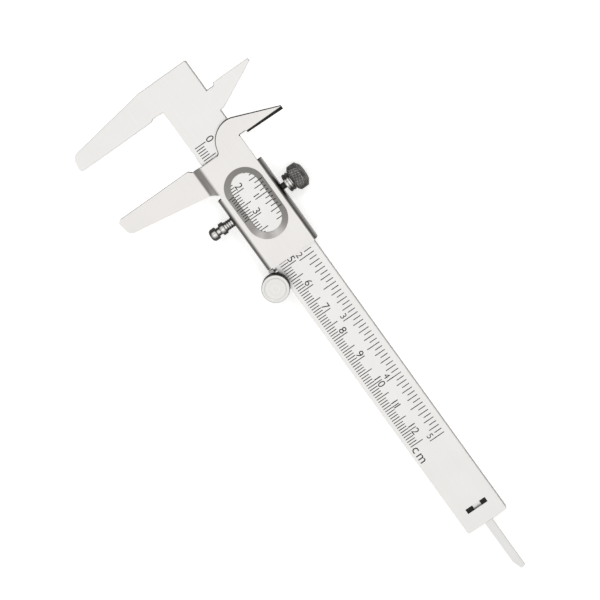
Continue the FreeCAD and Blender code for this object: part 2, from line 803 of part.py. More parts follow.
def make_finger_post():
    """The turned finger post in the lower wall, with a dog that holds the gib. It points down."""
    body = new_body("finger_post")
    neck = D["neck_radius"]
    shaft = D["post_radius"]
    cut = D["post_groove"]
    grooves = []
    for number in (1, 2, 3):
        depth = -D["post_groove_pitch"] * number
        grooves += [
            (shaft, depth + cut),
            (shaft - cut, depth + cut / 2),
            (shaft - cut, depth - cut / 2),
            (shaft, depth - cut),
        ]
    section = new_sketch(body, "post_section", "XY_Plane")
    dog_end = D["sheet"] + D["gib_fit"] + D["dog_length"]
    outline(section, [
        (0.0, dog_end),
        (D["dog_radius"], dog_end),
        (D["dog_radius"], D["sheet"]),
        (neck, D["sheet"]),
        (neck, 0.0),
        (shaft, 0.0),
        *grooves,
        (shaft, -D["post_shaft"]),
        (D["post_collar_radius"], -D["post_shaft"], D["small_round"]),
        (D["post_collar_radius"], -D["post_collar"], D["small_round"]),
        (D["post_neck_radius"], -D["post_collar"]),
        (D["post_neck_radius"], -D["post_neck"]),
        (D["post_knob_radius"], -D["post_neck"], D["small_round"]),
        (D["post_knob_radius"], -D["post_length"], D["small_round"] * 4),
        (0.0, -D["post_length"]),
    ])
    turn(body, "post_turn", section)
    stand_on_edge(body, D["post_x"], LOW_WALL_OUT)
    return body


def make_roller_bracket():
    """The bracket riveted to the lower lip, with the roller's eye and a forward tab."""
    body = new_body("roller_bracket")
    back = LIP_BACK - D["bracket_sheet"]
    eye = D["eye_radius"]
    eye_right = D["roller_x"] + eye
    eye_low = D["roller_y"] - eye
    plate = new_sketch(body, "bracket_outline", "XY_Plane", back)
    outline(plate, [
        (D["bracket_left"], D["bracket_low"], D["small_round"]),
        (D["bracket_bend_x"], D["bracket_low"]),
        (D["bracket_bend_x"], eye_low, eye / 2),
        (eye_right, eye_low, eye - 0.1),
        (eye_right, D["bracket_high"], eye / 2),
        (D["bracket_left"], D["bracket_high"], D["small_round"]),
    ])
    pad(body, "bracket_pad", plate, D["bracket_sheet"])
    foot = new_sketch(body, "foot_outline", "XY_Plane", back)
    rectangle(foot, D["tab_foot_left"], D["tab_low"], D["tab_right"], D["bracket_low"] + 1)
    pad(body, "tab_foot", foot, D["bracket_sheet"])
    post = new_sketch(body, "post_outline", "XY_Plane", back)
    rectangle(post, D["tab_foot_left"], D["tab_low"], D["tab_right"], D["tab_high"])
    pad(body, "tab_post", post, D["tab_front"] - back)
    tab = new_sketch(body, "tab_outline", "XY_Plane", D["tab_back"])
    rectangle(tab, D["tab_left"], D["tab_low"], D["tab_right"], D["tab_high"])
    pad(body, "tab_pad", tab, D["tab_front"] - D["tab_back"])
    holes = new_sketch(body, "bracket_holes", "XY_Plane", LIP_BACK)
    circle_at(holes, D["roller_x"], D["roller_y"], D["eye_bore"])
    for x, y in bracket_rivet_places():
        circle_at(holes, x, y, D["rivet_radius"])
    pocket(body, "bracket_bores", holes, D["bracket_sheet"])
    return body


def make_thumb_roller():
    """The knurled roller: head in front of the beam, hub on its lower edge, stem in the eye."""
    body = new_body("thumb_roller")
    hub_back = LIP_BACK + D["rod_clearance"]
    stem_back = washer_level() - D["rod_clearance"]
    head_back = D["roller_back"]
    head_front = head_back + D["roller_height"]
    dish = D["roller_dish"]
    rim = D["roller_radius"]
    section = new_sketch(body, "roller_section", "XZ_Plane")
    outline(section, [
        (0.0, stem_back),
        (D["stem_radius"], stem_back),
        (D["stem_radius"], hub_back),
        (D["hub_radius"], hub_back),
        (D["hub_radius"], head_back),
        (rim - dish, head_back),
        (rim, head_back + dish),
        (rim, head_front - dish),
        (rim - dish, head_front),
        (D["roller_step"] + dish, head_front),
        (D["roller_step"], head_front - dish),
        (0.0, head_front - dish),
    ])
    turn(body, "roller_turn", section)
    stand_on_edge(body, D["roller_x"], D["roller_y"])
    return body


def washer_level():
    """The level of the washer's back face, just behind the bracket."""
    return LIP_BACK - D["bracket_sheet"] - D["rod_clearance"] - D["washer_thickness"]


def make_roller_washer():
    """The washer on the stem's end, which keeps the roller in its eye."""
    body = new_body("roller_washer")
    ring = new_sketch(body, "washer_outline", "XY_Plane", washer_level())
    circle_at(ring, D["roller_x"], D["roller_y"], D["eye_radius"] - 0.5)
    circle_at(ring, D["roller_x"], D["roller_y"], D["stem_radius"])
    pad(body, "washer_pad", ring, D["washer_thickness"])
    return body


def check(nodes):
    """Stop unless every object computed and every node is a valid closed shape."""
    DOC.recompute()
    for item in DOC.Objects:
        if "Invalid" in item.State or "Error" in item.State:
            raise RuntimeError(f"{item.Name} did not compute: {item.State}")
    for node in nodes:
        shape = node.Shape
        if shape.isNull() or not shape.isValid() or shape.Volume <= 0:
            raise RuntimeError(f"{node.Label} has no valid shape")


def main():
    """Build every node, check it and write its file."""
    nodes = [
        make_beam(),
        make_depth_rod(),
        make_rod_guide_clip(),
        make_slider_body(),
        make_rod_carrier(),
        make_rivets("carrier_rivets", carrier_rivet_places(), LIP_BACK - D["carrier_sheet"], LIP_FRONT),
        make_rod_pin(),
        make_gib_strip(),
        make_lock_pad(),
        make_lock_screw(),
        make_finger_post(),
        make_roller_bracket(),
        make_rivets("bracket_rivets", bracket_rivet_places(), LIP_BACK - D["bracket_sheet"], LIP_FRONT),
        make_thumb_roller(),
        make_roller_washer(),
    ]
    check(nodes)
    os.makedirs("parts", exist_ok=True)
    for node in nodes:
        node.Shape.exportStep(f"parts/{node.Label}.step")
        box = node.Shape.BoundBox
        print(f"{node.Label:16s} volume {node.Shape.Volume:9.2f}  "
              f"x {box.XMin:7.2f} {box.XMax:7.2f}  y {box.YMin:7.2f} {box.YMax:7.2f}  "
              f"z {box.ZMin:6.2f} {box.ZMax:6.2f}  solids {len(node.Shape.Solids)}")


main()
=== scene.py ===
import math

import bpy
from mathutils import Matrix, Vector


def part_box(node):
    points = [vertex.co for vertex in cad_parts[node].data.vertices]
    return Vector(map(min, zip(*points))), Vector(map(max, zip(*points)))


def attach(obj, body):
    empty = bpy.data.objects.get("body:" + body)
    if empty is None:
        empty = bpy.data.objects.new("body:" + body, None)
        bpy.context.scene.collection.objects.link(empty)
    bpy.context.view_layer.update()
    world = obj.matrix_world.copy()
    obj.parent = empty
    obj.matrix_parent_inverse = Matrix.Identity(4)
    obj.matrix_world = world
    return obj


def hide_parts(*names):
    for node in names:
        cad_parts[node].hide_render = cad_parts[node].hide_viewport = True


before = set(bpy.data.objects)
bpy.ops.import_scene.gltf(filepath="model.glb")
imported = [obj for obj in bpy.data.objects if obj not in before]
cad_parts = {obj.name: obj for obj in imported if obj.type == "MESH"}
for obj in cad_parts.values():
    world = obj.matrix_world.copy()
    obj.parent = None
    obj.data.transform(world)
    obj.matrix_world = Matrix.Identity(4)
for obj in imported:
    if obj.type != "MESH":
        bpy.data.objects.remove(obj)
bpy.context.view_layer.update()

bl_info = {
    "name": "Vernier Caliper",
    "version": (1, 0, 0),
    "blender": (4, 5, 0),
    "location": "View3D > Sidebar > Caliper",
    "description": "Engraves, knurls and finishes a vernier caliper built round its CAD frame",
    "category": "Object",
}

MM = 0.001
INCH = 25.4 * MM


# ---------------------------------------------------------------- settings

def length_setting(name, description, default):
    """A setting that holds a length in metres."""
    return bpy.props.FloatProperty(
        name=name, description=description, default=default, unit="LENGTH")


def colour_setting(name, description, *default):
    """A setting that holds an opaque colour."""
    return bpy.props.FloatVectorProperty(
        name=name, description=description, default=(*default, 1), subtype="COLOR", size=4)


class CaliperScales(bpy.types.PropertyGroup):
    """Where the engraved scales lie and how they are cut."""
    zero_x: length_setting("Scale zero", "Zero of both scales along the beam", 15.61 * MM)
    line_width: length_setting("Line width", "Width of every engraved line", 0.3 * MM)
    depth: length_setting("Depth", "Depth of the engraving", 0.06 * MM)
    metric_y: length_setting(
        "Metric foot", "Where the metric lines start across the beam", 21.45 * MM)
    inch_y: length_setting("Inch head", "Where the inch lines start across the beam", 33.9 * MM)
    centimetres: bpy.props.IntProperty(
        name="Centimetres", description="Numbered centimetres on the metric scale", default=12)
    inches: bpy.props.IntProperty(
        name="Inches", description="Numbered inches on the inch scale", default=5)
    metric_digit: length_setting("Metric figure height", "Height of the metric figures", 2.8 * MM)
    inch_digit: length_setting("Inch figure height", "Height of the inch figures", 2.4 * MM)
    metric_foot: length_setting(
        "Metric figures", "Foot of the metric figures across the beam", 24.75 * MM)
    inch_foot: length_setting(
        "Inch figures", "Foot of the inch figures across the beam", 27.95 * MM)
    zero_foot: length_setting(
        "Zero figure", "Foot of the zero that both scales share", 26.15 * MM)


class CaliperTurned(bpy.types.PropertyGroup):
    """Sizes of the knurls on the turned pieces."""
    screw_diamonds: bpy.props.IntProperty(
        name="Screw diamonds", description="Diamonds round the lock screw's head", default=36)
    roller_diamonds: bpy.props.IntProperty(
        name="Roller diamonds", description="Diamonds round the thumb roller's rim", default=56)
    knurl_height: length_setting("Knurl height", "How far each diamond stands up", 0.15 * MM)


class CaliperFinish(bpy.types.PropertyGroup):
    """Colours of the finishes, and of the painted shade on sides and outlines."""
    beam: colour_setting("Beam", "Satin steel of the beam", 0.87, 0.855, 0.84)
    slider: colour_setting("Slider", "Satin steel of the slider", 0.87, 0.85, 0.83)
    # Painted shade, grey, on the side walls and folds of the flat steel pieces.
    bare_edge: colour_setting(
        "Grey side shade", "Painted shade on the side walls and folds of the flat pieces", 0.16, 0.156, 0.148)
    # Painted shade, black, on the slider plate's outline walls and the thumb roller's rim.
    cut_edge: colour_setting(
        "Black side shade", "Painted black shade on the plate's outline and the roller's rim", 0.012, 0.011, 0.010)
    rod: colour_setting("Rod", "Drawn steel of the depth rod", 0.79, 0.78, 0.77)
    turned: colour_setting("Turned steel", "Face of the thumb roller", 0.79, 0.78, 0.76)
    black: colour_setting("Black oxide", "Blackened clip, and painted shade on the screw and the post", 0.03, 0.029, 0.028)
    dark_polish: colour_setting(
        "Dark polish", "Polished steel of the screw and the post, with painted highlight and shade", 0.78, 0.77, 0.75)
    ink: colour_setting("Ink", "Fill of the engraved lines", 0.012, 0.012, 0.012)
    brass: colour_setting("Brass", "Pad under the lock screw", 0.72, 0.52, 0.22)


class CaliperStage(bpy.types.PropertyGroup):
    """The camera, the lights and the floor."""
    camera_place: bpy.props.FloatVectorProperty(
        name="Camera", description="Where the camera stands", subtype="XYZ", unit="LENGTH",
        default=(-44.3 * MM, 143.7 * MM, 875.2 * MM))
    camera_aim: bpy.props.FloatVectorProperty(
        name="Aim", description="The point the camera looks at", subtype="XYZ", unit="LENGTH",
        default=(77.65 * MM, 20.1 * MM, 0))
    camera_roll: bpy.props.FloatProperty(
        name="Roll", description="Turn of the camera about its own axis", subtype="ANGLE",
        default=math.radians(-169.95))
    lens: bpy.props.FloatProperty(
        name="Lens", description="Focal length on a 36 mm sensor, in millimetres", default=158.8)
    floor: colour_setting("Floor", "Colour of the floor", 0.93, 0.93, 0.93)
    glow: bpy.props.FloatProperty(
        name="Floor glow", description="Light that the lit table gives off by itself", default=0.5)


# ---------------------------------------------------------------- shader groups

def new_group(name, inputs, outputs):
    """Start a shader node group with float inputs (name, default) and named outputs."""
    group = bpy.data.node_groups.new(name, "ShaderNodeTree")
    for label, default in inputs:
        socket = group.interface.new_socket(label, in_out="INPUT", socket_type="NodeSocketFloat")
        socket.default_value = default
    for label, kind in outputs:
        group.interface.new_socket(label, in_out="OUTPUT", socket_type=kind)
    entry = group.nodes.new("NodeGroupInput")
    leave = group.nodes.new("NodeGroupOutput")
    return group, entry, leave


def math_node(group, operation, first, second=None, clamp=False):
    """Add a math node. Each operand is a socket or a number."""
    node = group.nodes.new("ShaderNodeMath")
    node.operation = operation
    node.use_clamp = clamp
    for index, operand in enumerate((first, second)):
        if operand is None:
            continue
        if isinstance(operand, (int, float)):
            node.inputs[index].default_value = operand
        else:
            group.links.new(operand, node.inputs[index])
    return node.outputs[0]


def object_coordinates(tree):
    """The place of each point in the caliper's own frame."""
    return tree.nodes.new("ShaderNodeTexCoord").outputs["Object"]


def stretched(tree, source, scale):
    """Scale coordinates by three factors."""
    mapping = tree.nodes.new("ShaderNodeMapping")
    mapping.inputs["Scale"].default_value = scale
    tree.links.new(source, mapping.inputs["Vector"])
    return mapping.outputs[0]


def noise(tree, source, scale, detail=3.0, roughness=0.55):
    """Add a noise texture and return its value."""
    node = tree.nodes.new("ShaderNodeTexNoise")
    node.inputs["Scale"].default_value = scale
    node.inputs["Detail"].default_value = detail
    node.inputs["Roughness"].default_value = roughness
    tree.links.new(source, node.inputs["Vector"])
    return node.outputs["Fac"]


def make_brushed_grain():
    """Fine lines left by the grinding belt, running along the beam."""
    group, entry, leave = new_group(
        "brushed_grain", [("Fineness", 1.0)],
        [("Grain", "NodeSocketFloat")])
    source = object_coordinates(group)
    scaled = group.nodes.new("ShaderNodeVectorMath")
    scaled.operation = "SCALE"
    group.links.new(source, scaled.inputs[0])
    group.links.new(entry.outputs["Fineness"], scaled.inputs["Scale"])
    fine = noise(group, stretched(group, scaled.outputs[0], (90, 4200, 4200)), 1.0, 2.0)
    broad = noise(group, stretched(group, scaled.outputs[0], (35, 1100, 1100)), 1.0, 3.0)
    mixed = math_node(group, "ADD", math_node(group, "MULTIPLY", fine, 0.6),
                      math_node(group, "MULTIPLY", broad, 0.4))
    group.links.new(mixed, leave.inputs["Grain"])
    return group


def make_handling():
    """Soft cloudy smudges and a few fine scratches from use."""
    group, entry, leave = new_group(
        "handling", [("Smudge", 0.5), ("Scratches", 0.3)],
        [("Cloud", "NodeSocketFloat"), ("Scratch", "NodeSocketFloat")])
    source = object_coordinates(group)
    cloud = noise(group, source, 95, 4.0, 0.6)
    even = math_node(group, "SUBTRACT", cloud, 0.5)
    strength = math_node(group, "MULTIPLY", even, entry.outputs["Smudge"])
    group.links.new(math_node(group, "ADD", strength, 0.5, clamp=True), leave.inputs["Cloud"])
    turned = group.nodes.new("ShaderNodeMapping")
    turned.inputs["Rotation"].default_value = (0, 0, math.radians(34))
    turned.inputs["Scale"].default_value = (60, 2400, 600)
    group.links.new(source, turned.inputs["Vector"])
    lines = noise(group, turned.outputs[0], 1.0, 1.0)
    sparse = math_node(group, "GREATER_THAN", lines, 0.72)
    patch = math_node(group, "GREATER_THAN", noise(group, source, 240, 1.0), 0.52)
    scratch = math_node(group, "MULTIPLY", math_node(group, "MULTIPLY", sparse, patch),
                        entry.outputs["Scratches"])
    group.links.new(scratch, leave.inputs["Scratch"])
    return group


def make_sheared_side():
    """A mask for painted shade: faces that look sideways instead of up or down."""
    group, entry, leave = new_group(
        "painted_side_shade", [("Start", 0.62), ("End", 0.2)],
        [("Side", "NodeSocketFloat")])
    normal = group.nodes.new("ShaderNodeTexCoord").outputs["Normal"]
    split = group.nodes.new("ShaderNodeSeparateXYZ")
    group.links.new(normal, split.inputs[0])
    upright = math_node(group, "ABSOLUTE", split.outputs["Z"])
    blend = group.nodes.new("ShaderNodeMapRange")
    blend.interpolation_type = "SMOOTHSTEP"
    group.links.new(upright, blend.inputs["Value"])
    group.links.new(entry.outputs["End"], blend.inputs["From Min"])
    group.links.new(entry.outputs["Start"], blend.inputs["From Max"])
    blend.inputs["To Min"].default_value = 1
    blend.inputs["To Max"].default_value = 0
    group.links.new(blend.outputs[0], leave.inputs["Side"])
    return group


def make_lathe_rings():
    """Fine rings round the z axis that a turning tool leaves."""
    group, entry, leave = new_group(
        "lathe_rings", [("Centre X", 0.0), ("Centre Y", 0.0), ("Pitch", 0.0002)],
        [("Rings", "NodeSocketFloat")])
    split = group.nodes.new("ShaderNodeSeparateXYZ")
    group.links.new(object_coordinates(group), split.inputs[0])
    dx = math_node(group, "SUBTRACT", split.outputs["X"], entry.outputs["Centre X"])
    dy = math_node(group, "SUBTRACT", split.outputs["Y"], entry.outputs["Centre Y"])
    squares = math_node(group, "ADD", math_node(group, "MULTIPLY", dx, dx),
                        math_node(group, "MULTIPLY", dy, dy))
    radius = math_node(group, "DIVIDE", math_node(group, "SQRT", squares), entry.outputs["Pitch"])
    wave = math_node(group, "SINE", math_node(group, "MULTIPLY", radius, 2 * math.pi))
    drift = math_node(group, "SINE", math_node(group, "MULTIPLY", radius, 0.83))
    both = math_node(group, "ADD", math_node(group, "MULTIPLY", wave, 0.3),
                     math_node(group, "MULTIPLY", drift, 0.2))
    group.links.new(math_node(group, "ADD", both, 0.5, clamp=True), leave.inputs["Rings"])
    return group


def make_oxide_bloom():
    """Uneven black oxide: a slight mottle, with bare metal showing on rubbed spots."""
    group, entry, leave = new_group(
        "oxide_bloom", [("Rub", 0.5)],
        [("Mottle", "NodeSocketFloat"), ("Bare", "NodeSocketFloat")])
    source = object_coordinates(group)
    group.links.new(noise(group, source, 900, 4.0), leave.inputs["Mottle"])
    spots = noise(group, source, 1500, 5.0, 0.7)
    rubbed = math_node(group, "SUBTRACT", spots, 0.58)
    bare = math_node(group, "MULTIPLY", math_node(group, "MULTIPLY", rubbed, 6.0, clamp=True),
                     entry.outputs["Rub"])
    group.links.new(bare, leave.inputs["Bare"])
    return group


GROUP_MAKERS = {
    "brushed_grain": make_brushed_grain,
    "handling": make_handling,
    "painted_side_shade": make_sheared_side,
    "lathe_rings": make_lathe_rings,
    "oxide_bloom": make_oxide_bloom,
}


# ---------------------------------------------------------------- materials

# A Mix node lists its number and vector sockets before its colour ones.
MIX_COLOUR_INPUTS = (6, 7)
MIX_COLOUR_OUTPUT = 2


def place_group(material, name, **values):
    """Put a shared group in a material, with this material's own values."""
    node = material.node_tree.nodes.new("ShaderNodeGroup")
    node.node_tree = bpy.data.node_groups.get(name) or GROUP_MAKERS[name]()
    for label, value in values.items():
        node.inputs[label.replace("_", " ")].default_value = value
    return node


def start_material(name, metallic, roughness):
    """A new node material with its Principled shader's own constants set."""
    material = bpy.data.materials.new(name)
    material.use_nodes = True
    shader = material.node_tree.nodes["Principled BSDF"]
    shader.inputs["Metallic"].default_value = metallic
    shader.inputs["Roughness"].default_value = roughness
    return material, shader


def mix_colours(tree, factor, first, second):
    """Blend two colours. Each is a socket or a plain colour."""
    node = tree.nodes.new("ShaderNodeMix")
    node.data_type = "RGBA"
    tree.links.new(factor, node.inputs["Factor"])
    for index, colour in zip(MIX_COLOUR_INPUTS, (first, second)):
        if isinstance(colour, bpy.types.NodeSocket):
            tree.links.new(colour, node.inputs[index])
        else:
            node.inputs[index].default_value = tuple(colour)
    return node.outputs[MIX_COLOUR_OUTPUT]


def spread(tree, value, low, high):
    """Map a 0 to 1 value onto a narrower range."""
    node = tree.nodes.new("ShaderNodeMapRange")
    node.inputs["To Min"].default_value = low
    node.inputs["To Max"].default_value = high
    tree.links.new(value, node.inputs["Value"])
    return node.outputs[0]


def bump(tree, shader, height, strength, distance):
    """Feed a height into the shader's normal."""
    node = tree.nodes.new("ShaderNodeBump")
    node.inputs["Strength"].default_value = strength
    node.inputs["Distance"].default_value = distance
    tree.links.new(height, node.inputs["Height"])
    tree.links.new(node.outputs[0], shader.inputs["Normal"])


def shade(colour, factor):
    """A darker or lighter version of a colour."""
    return tuple(channel * factor for channel in colour[:3]) + (1.0,)


def satin_steel(name, colour, roughness, fineness=1.0, sides=(0.62, 0.2), edge=None,
                slope_shade=1.0):
    """Ground sheet steel: fine grain and smudges, with painted shade on slopes and on the sides."""
    finish = bpy.context.scene.caliper_finish
    material, shader = start_material(name, 1.0, roughness)
    shader.inputs["Specular IOR Level"].default_value = 0.2
    tree = material.node_tree
    grain = place_group(material, "brushed_grain", Fineness=fineness)
    hands = place_group(material, "handling", Smudge=0.9, Scratches=0.35)
    side = place_group(material, "painted_side_shade", Start=sides[0], End=sides[1]).outputs["Side"]
    face = mix_colours(tree, hands.outputs["Cloud"], shade(colour, 0.93), shade(colour, 1.05))
    lined = mix_colours(tree, grain.outputs["Grain"], shade(colour, 0.93), face)
    scratched = mix_colours(tree, hands.outputs["Scratch"], lined, shade(colour, 1.1))
    # Painted shade on slopes and bends: faces tilted from straight up are darkened by the slope
    # factor.
    slope_shade_mask = place_group(material, "painted_side_shade", Start=0.985, End=0.88).outputs["Side"]
    slope_shaded = mix_colours(tree, slope_shade_mask, scratched, shade(colour, slope_shade))
    # Painted shade on the sides: the given edge colour, else the grey side shade.
    side_shaded = mix_colours(tree, side, slope_shaded, edge or finish.bare_edge)
    tree.links.new(side_shaded, shader.inputs["Base Color"])
    rough = spread(tree, hands.outputs["Cloud"], roughness - 0.06, roughness + 0.06)
    if edge:
        tree.links.new(spread(tree, side, 1, 0), shader.inputs["Metallic"])
        rough = math_node(tree, "ADD", rough, math_node(tree, "MULTIPLY", side, 0.55))
    tree.links.new(rough, shader.inputs["Roughness"])
    bump(tree, shader, grain.outputs["Grain"], 0.25, 0.00001)
    return material


def black_oxide(name, colour, roughness):
    """Blackened steel with a slight mottle and rubbed spots."""
    material, shader = start_material(name, 0.3, roughness)
    shader.inputs["Specular IOR Level"].default_value = 0.3
    tree = material.node_tree
    bloom = place_group(material, "oxide_bloom", Rub=0.35)
    base = mix_colours(tree, bloom.outputs["Mottle"], shade(colour, 0.6), shade(colour, 1.6))
    worn = mix_colours(tree, bloom.outputs["Bare"], base, shade(colour, 2.2))
    tree.links.new(worn, shader.inputs["Base Color"])
    tree.links.new(spread(tree, bloom.outputs["Mottle"], roughness - 0.08, roughness + 0.1),
                   shader.inputs["Roughness"])
    bump(tree, shader, bloom.outputs["Mottle"], 0.2, 0.00003)
    return material


def dark_polish(name, colour, dark, roughness):
    """Turned steel with a painted highlight on front and back and painted shade on the sides and
    knurl dips.
    """
    material, shader = start_material(name, 1.0, roughness)
    tree = material.node_tree
    bloom = place_group(material, "oxide_bloom", Rub=0.3)
    side = place_group(material, "painted_side_shade", Start=0.995, End=0.78)
    points, dip_shade = ridge_wear(tree)
    bright = mix_colours(tree, bloom.outputs["Mottle"], shade(colour, 0.75), shade(colour, 1.2))
    black = mix_colours(tree, bloom.outputs["Mottle"], shade(dark, 0.6), shade(dark, 1.6))
    # Painted highlight on faces that look up or down, and painted shade, in the dark colour, on the
    # sides.
    rubbed = mix_colours(tree, side.outputs["Side"], bright, black)
    # Painted shade in the knurl's dips and on the screw's neck.
    dip_shaded = mix_colours(tree, dip_shade, rubbed, shade(dark, 0.5))
    # Knurl points lighter: part wear, part painted glint.
    point_wear_and_glint = mix_colours(tree, points, dip_shaded, shade(colour, 1.4))
    tree.links.new(point_wear_and_glint, shader.inputs["Base Color"])
    painted_shade_areas = math_node(tree, "MAXIMUM", side.outputs["Side"], dip_shade)
    bare = math_node(tree, "SUBTRACT", painted_shade_areas, points, clamp=True)
    tree.links.new(spread(tree, bare, roughness, roughness + 0.35), shader.inputs["Roughness"])
    tree.links.new(spread(tree, bare, 1, 0.1), shader.inputs["Metallic"])
    bump(tree, shader, bloom.outputs["Mottle"], 0.2, 0.00002)
    return material


def ridge_wear(tree):
    """How far a knurl's points are lighter, from wear and painted glint, and how far its dips take
    painted shade, by the attribute.
    """
    ridge = tree.nodes.new("ShaderNodeAttribute")
    ridge.attribute_name = "ridge"
    masks = []
    for start, end in ((0.2, 0.9), (-0.1, -0.7)):
        mask = tree.nodes.new("ShaderNodeMapRange")
        mask.interpolation_type = "SMOOTHSTEP"
        mask.inputs["From Min"].default_value = start
        mask.inputs["From Max"].default_value = end
        tree.links.new(ridge.outputs["Fac"], mask.inputs["Value"])
        masks.append(mask.outputs[0])
    return masks


def turned_face(name, colour, centre, roughness):
    """Bright turned steel with concentric tool rings and painted black shade on the knurled rim."""
    finish = bpy.context.scene.caliper_finish
    material, shader = start_material(name, 1.0, roughness)
    tree = material.node_tree
    rings = place_group(material, "lathe_rings", Centre_X=centre.x, Centre_Y=centre.y,
                        Pitch=0.00022)
    hands = place_group(material, "handling", Smudge=0.6, Scratches=0.3)
    side = place_group(material, "painted_side_shade", Start=0.9, End=0.5)
    face = mix_colours(tree, rings.outputs["Rings"], shade(colour, 0.92), shade(colour, 1.05))
    clouded = mix_colours(tree, hands.outputs["Cloud"], shade(colour, 0.93), face)
    # Painted shade: the rim's sides take the black side shade.
    side_shaded = mix_colours(tree, side.outputs["Side"], clouded, finish.cut_edge)
    tree.links.new(spread(tree, side.outputs["Side"], 1, 0.2), shader.inputs["Metallic"])
    tree.links.new(side_shaded, shader.inputs["Base Color"])
    tree.links.new(spread(tree, rings.outputs["Rings"], roughness - 0.05, roughness + 0.08),
                   shader.inputs["Roughness"])
    bump(tree, shader, rings.outputs["Rings"], 0.4, 0.00001)
    return material


def engraving_ink(name, colour):
    """Dull black filler, slightly uneven and worn thin in places."""
    material, shader = start_material(name, 0.0, 0.75)
    tree = material.node_tree
    hands = place_group(material, "handling", Smudge=1.0, Scratches=0.0)
    uneven = mix_colours(tree, hands.outputs["Cloud"], shade(colour, 0.5), shade(colour, 2.2))
    tree.links.new(uneven, shader.inputs["Base Color"])
    bump(tree, shader, hands.outputs["Cloud"], 0.3, 0.00001)
    return material


def soft_brass(name, colour):
    """Plain brass with a slight tarnish."""
    material, shader = start_material(name, 1.0, 0.4)
    tree = material.node_tree
    bloom = place_group(material, "oxide_bloom", Rub=0.2)
    tone = mix_colours(tree, bloom.outputs["Mottle"], shade(colour, 0.75), shade(colour, 1.1))
    tree.links.new(tone, shader.inputs["Base Color"])
    tree.links.new(spread(tree, bloom.outputs["Mottle"], 0.32, 0.5), shader.inputs["Roughness"])
    return material


def dress(piece, material):
    """Give a whole piece one material."""
    piece.data.materials.clear()
    piece.data.materials.append(material)


# ---------------------------------------------------------------- modelling helpers

FONT_SIZE_PER_HEIGHT = 1.37


def deselect_all():
    """Leave nothing selected, and leave edit mode."""
    if bpy.context.object and bpy.context.object.mode != "OBJECT":
        bpy.ops.object.mode_set(mode="OBJECT")
    bpy.ops.object.select_all(action="DESELECT")


def take(*pieces):
    """Select only these pieces, the last one active."""
    deselect_all()
    for piece in pieces:
        piece.select_set(True)
    bpy.context.view_layer.objects.active = pieces[-1]


def settle(piece):
    """Move a piece's place and turn into its mesh."""
    take(piece)
    bpy.ops.object.transform_apply(location=True, rotation=True, scale=True)


def merge(piece):
    """Join the vertices of a piece that lie on one another."""
    take(piece)
    bpy.ops.object.mode_set(mode="EDIT")
    bpy.ops.mesh.select_all(action="SELECT")
    bpy.ops.mesh.remove_doubles(threshold=1e-7)
    bpy.ops.object.mode_set(mode="OBJECT")


def copy_of_node(node, name):
    """A separate, merged copy of a CAD node's mesh, ready to be cut."""
    piece = bpy.data.objects.new(name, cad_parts[node].data.copy())
    bpy.context.scene.collection.objects.link(piece)
    take(piece)
    bpy.ops.mesh.customdata_custom_splitnormals_clear()
    merge(piece)
    return piece


def cutter_block(name, width, length, height):
    """The block that every engraved line is copied from, centred on the origin."""
    deselect_all()
    bpy.ops.mesh.primitive_cube_add(size=1, location=(0, 0, 0))
    block = bpy.context.object
    block.name = name
    block.scale = (width, length, height)
    settle(block)
    return block


def copied(block, place):
    """A copy of a cutter with its own mesh, put through a matrix."""
    twin = block.copy()
    twin.data = block.data.copy()
    twin.data.transform(place)
    bpy.context.scene.collection.objects.link(twin)
    return twin


def line_cutter(block, x, start, length, top):
    """One straight line across the beam, from start upwards or downwards by length."""
    place = Matrix.Translation((x, start + length / 2, top))
    return copied(block, place @ Matrix.Diagonal((1, abs(length), 1, 1)))


def figure_cutter(text, height, depth, foot, top, left=None, right=None, centre=None):
    """A figure or letter of a stated height, set by its left end, its right end or its centre."""
    deselect_all()
    bpy.ops.object.text_add(location=(0, 0, 0))
    words = bpy.context.object
    words.data.body = text
    words.data.size = height * FONT_SIZE_PER_HEIGHT
    words.data.extrude = depth
    words.data.resolution_u = 4
    take(words)
    bpy.ops.object.convert(target="MESH")
    words = bpy.context.object
    merge(words)
    xs = [v.co.x for v in words.data.vertices]
    ys = [v.co.y for v in words.data.vertices]
    if left is not None:
        shift = left - min(xs)
    elif right is not None:
        shift = right - max(xs)
    else:
        shift = centre - (min(xs) + max(xs)) / 2
    words.data.transform(Matrix.Translation((shift, foot - min(ys), top)))
    return words


def engrave(piece, cutters, metal, ink):
    """Cut the joined cutters out of a piece and leave ink on the faces they cut."""
    take(*cutters)
    bpy.ops.object.join()
    tool = bpy.context.object
    for target in (piece, tool):
        target.data.materials.clear()
        target.data.materials.append(metal)
        target.data.materials.append(ink)
    for face in tool.data.polygons:
        face.material_index = 1
    cut = piece.modifiers.new("engraving", "BOOLEAN")
    cut.operation = "DIFFERENCE"
    cut.solver = "EXACT"
    cut.material_mode = "INDEX"
    cut.object = tool
    before = len(piece.data.polygons)
    take(piece)
    bpy.ops.object.modifier_apply(modifier=cut.name)
    bpy.data.objects.remove(tool)
    if len(piece.data.polygons) <= before:
        raise RuntimeError(f"{piece.name}: the engraving cut nothing")


